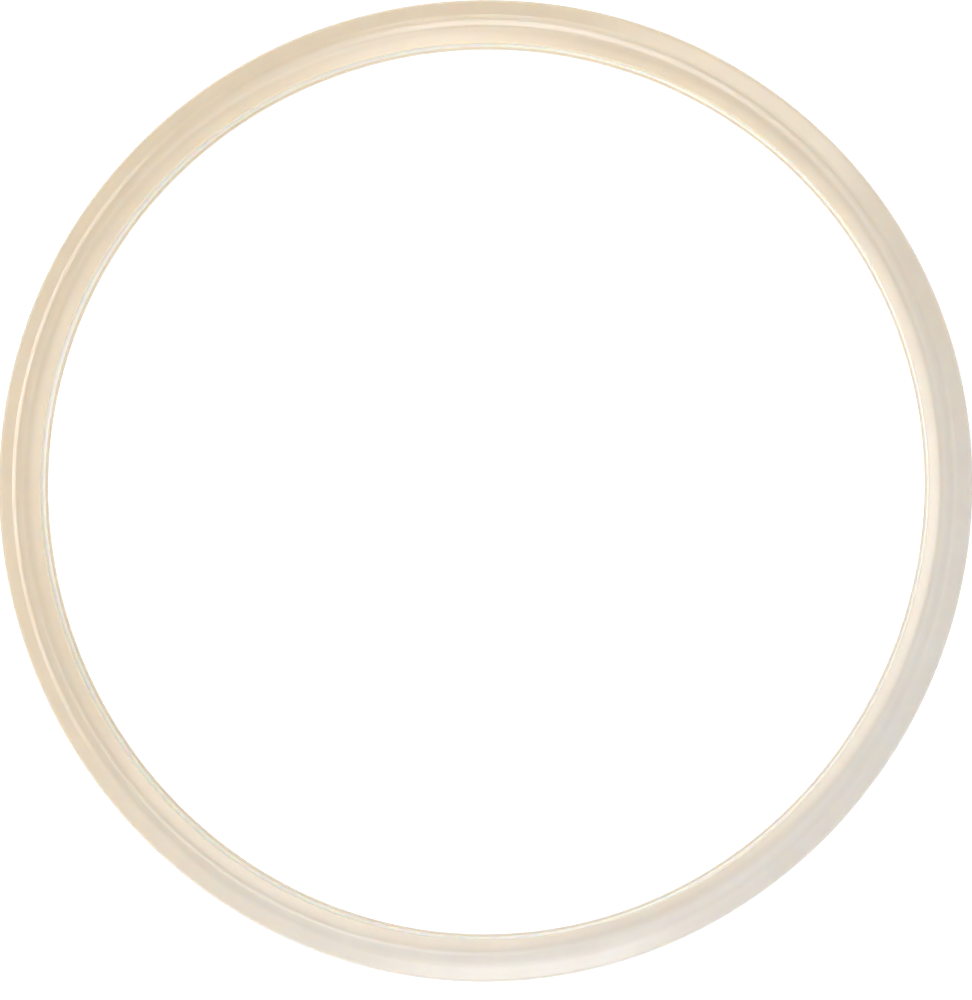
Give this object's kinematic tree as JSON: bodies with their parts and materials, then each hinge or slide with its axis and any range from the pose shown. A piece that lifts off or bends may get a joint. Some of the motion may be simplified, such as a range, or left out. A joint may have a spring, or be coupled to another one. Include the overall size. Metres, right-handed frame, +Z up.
{
  "type": "pressure cooker sealing ring",
  "caption": "Translucent silicone sealing ring for a stovetop pressure cooker's lid: a flexible hoop whose C-shaped section opens inwards between an upper and a lower lip.",
  "frame": {"origin": "centre of the ring, on the plane that its lower lip's land lies on", "axes": "+Z up along the ring's axis, from the pot's side to the lid's side; +X and +Y lie in the ring's plane"},
  "size_m": [0.24, 0.24, 0.008],
  "materials": {
    "silicone_rubber": "translucent ivory silicone, satin from the mould"
  },
  "bodies": {
    "root": {"sealing_ring": "silicone_rubber"}
  },
  "joints": []
}
